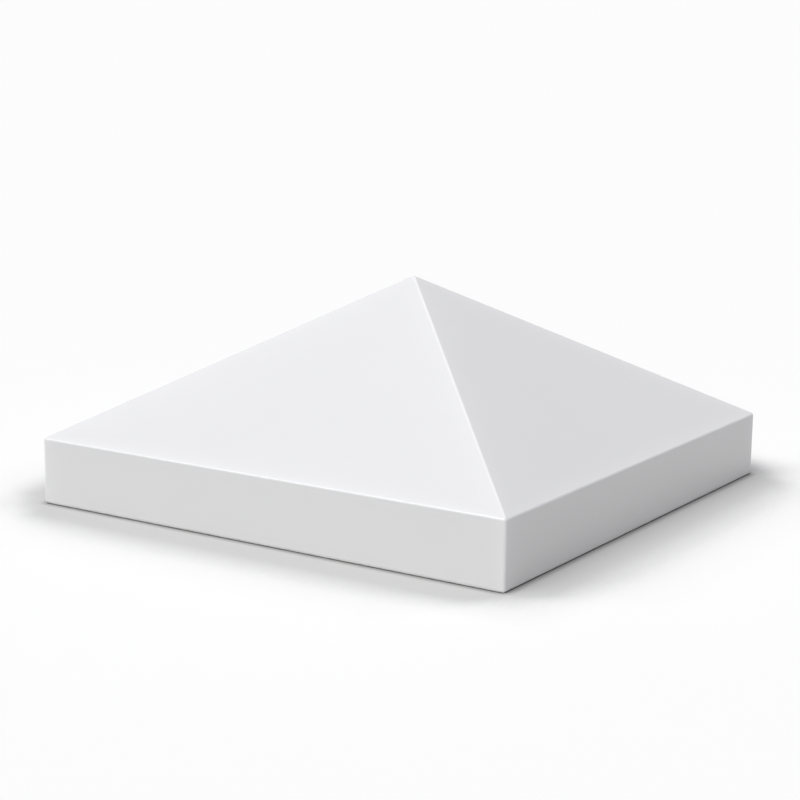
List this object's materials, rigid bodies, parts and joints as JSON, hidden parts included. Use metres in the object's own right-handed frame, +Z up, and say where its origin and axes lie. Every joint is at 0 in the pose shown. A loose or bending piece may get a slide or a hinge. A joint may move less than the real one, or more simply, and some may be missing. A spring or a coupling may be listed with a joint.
{
  "type": "newel post cap",
  "caption": "Square newel post cap: a plain upright band under a low pyramid roof with softened hips, moulded solid, with a flat underside that is bedded on the post top.",
  "frame": {"origin": "centre of the flat underside, on the top of the post", "axes": "+Z up through the peak of the roof, +X and +Y square to the sides of the band"},
  "size_m": [0.3556, 0.3556, 0.1488],
  "materials": {
    "primed_urethane": "moulded high density urethane with a smooth satin white primer"
  },
  "bodies": {
    "root": {"newel_cap": "primed_urethane"}
  },
  "joints": []
}
